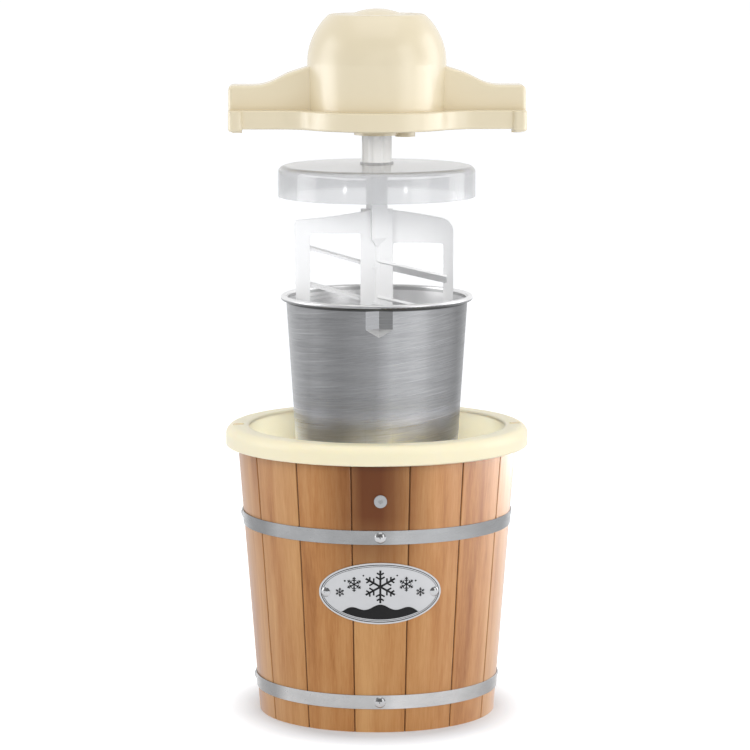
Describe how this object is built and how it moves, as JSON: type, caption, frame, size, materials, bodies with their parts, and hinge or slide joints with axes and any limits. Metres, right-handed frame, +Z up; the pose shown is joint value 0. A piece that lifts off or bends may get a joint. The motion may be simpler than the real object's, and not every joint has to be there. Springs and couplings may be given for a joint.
{
  "type": "ice cream maker",
  "caption": "Electric ice cream maker laid out above its wooden bucket: motor head, clear lid, dasher, aluminium can and hooped bucket with a plastic rim.",
  "frame": {"origin": "centre of the bucket's foot, on the surface that the bucket stands on", "axes": "+Z up along the common axis of bucket, can and dasher; -Y towards the drain and the oval plate; X along the motor head's arms"},
  "size_m": [0.2848, 0.2848, 0.6622],
  "materials": {
    "wood": "oiled, straight grain",
    "rim_plastic": "satin",
    "cream_plastic": "gloss",
    "hoop_steel": "galvanised",
    "rivet_steel": "bright",
    "badge_metal": "satin",
    "grey_plastic": "satin",
    "aluminium": "brushed",
    "clear_plastic": "clear",
    "white_plastic": "satin",
    "plate_steel": "plain",
    "magnet": "matt",
    "bronze": "plain",
    "core_iron": "laminated"
  },
  "bodies": {
    "bucket": {"stave_01": "wood", "stave_02": "wood", "stave_03": "wood", "stave_04": "wood", "stave_05": "wood", "stave_06": "wood", "stave_07": "wood", "stave_08": "wood", "stave_09": "wood", "stave_10": "wood", "stave_11": "wood", "stave_12": "wood", "stave_13": "wood", "stave_14": "wood", "stave_15": "wood", "bucket_bottom": "wood", "ice_liner": "rim_plastic", "liner_rim": "rim_plastic", "liner_floor": "rim_plastic", "lower_hoop": "hoop_steel", "upper_hoop": "hoop_steel", "hoop_rivets": "rivet_steel", "badge_plate": "badge_metal", "badge_screws": "rivet_steel", "drain_bush": "grey_plastic"},
    "can": {"can": "aluminium"},
    "lid": {"lid": "clear_plastic"},
    "motor_unit": {"motor_cover": "cream_plastic", "motor_base": "cream_plastic", "cover_screws": "rivet_steel", "cord_gland": "cream_plastic", "gear_plate": "plate_steel", "plate_screws": "rivet_steel", "motor_end_bell": "plate_steel", "motor_screws": "rivet_steel", "motor_frame": "plate_steel", "motor_magnets": "magnet", "shaft_bushes": "bronze", "idler_axle": "rivet_steel"},
    "hub": {"drive_hub": "white_plastic"},
    "idler": {"idler_gear": "white_plastic"},
    "rotor": {"motor_shaft": "rivet_steel", "motor_pinion": "bronze", "armature": "core_iron", "cooling_fan": "grey_plastic"},
    "dasher": {"dasher": "white_plastic"}
  },
  "joints": [
    {"name": "can_lift", "type": "slide", "parent": "bucket", "child": "can", "axis": [0, 0, 1], "range_m": [-0.158, 0]},
    {"name": "lid_lift", "type": "slide", "parent": "can", "child": "lid", "axis": [0, 0, 1], "range_m": [-0.119, 0]},
    {"name": "motor_lift", "type": "slide", "parent": "lid", "child": "motor_unit", "axis": [0, 0, 1], "range_m": [0, 0.025]},
    {"name": "drive_spin", "type": "hinge", "parent": "motor_unit", "child": "hub", "pos_m": [0, 0, 0.555], "axis": [0, 0, 1], "continuous": true},
    {"name": "dasher_pull", "type": "slide", "parent": "hub", "child": "dasher", "axis": [0, 0, 1], "range_m": [-0.025, 0]},
    {"name": "idler_spin", "type": "hinge", "parent": "motor_unit", "child": "idler", "pos_m": [0.026, 0, 0.56], "axis": [0, 0, 1], "continuous": true},
    {"name": "rotor_spin", "type": "hinge", "parent": "motor_unit", "child": "rotor", "pos_m": [0, 0, 0.59], "axis": [0, 0, 1], "continuous": true}
  ],
  "couplings": [
    {"joint": "dasher_pull", "follows": "motor_lift", "ratio": -1},
    {"joint": "idler_spin", "follows": "drive_spin", "ratio": -3.3333},
    {"joint": "rotor_spin", "follows": "drive_spin", "ratio": 13.333}
  ]
}
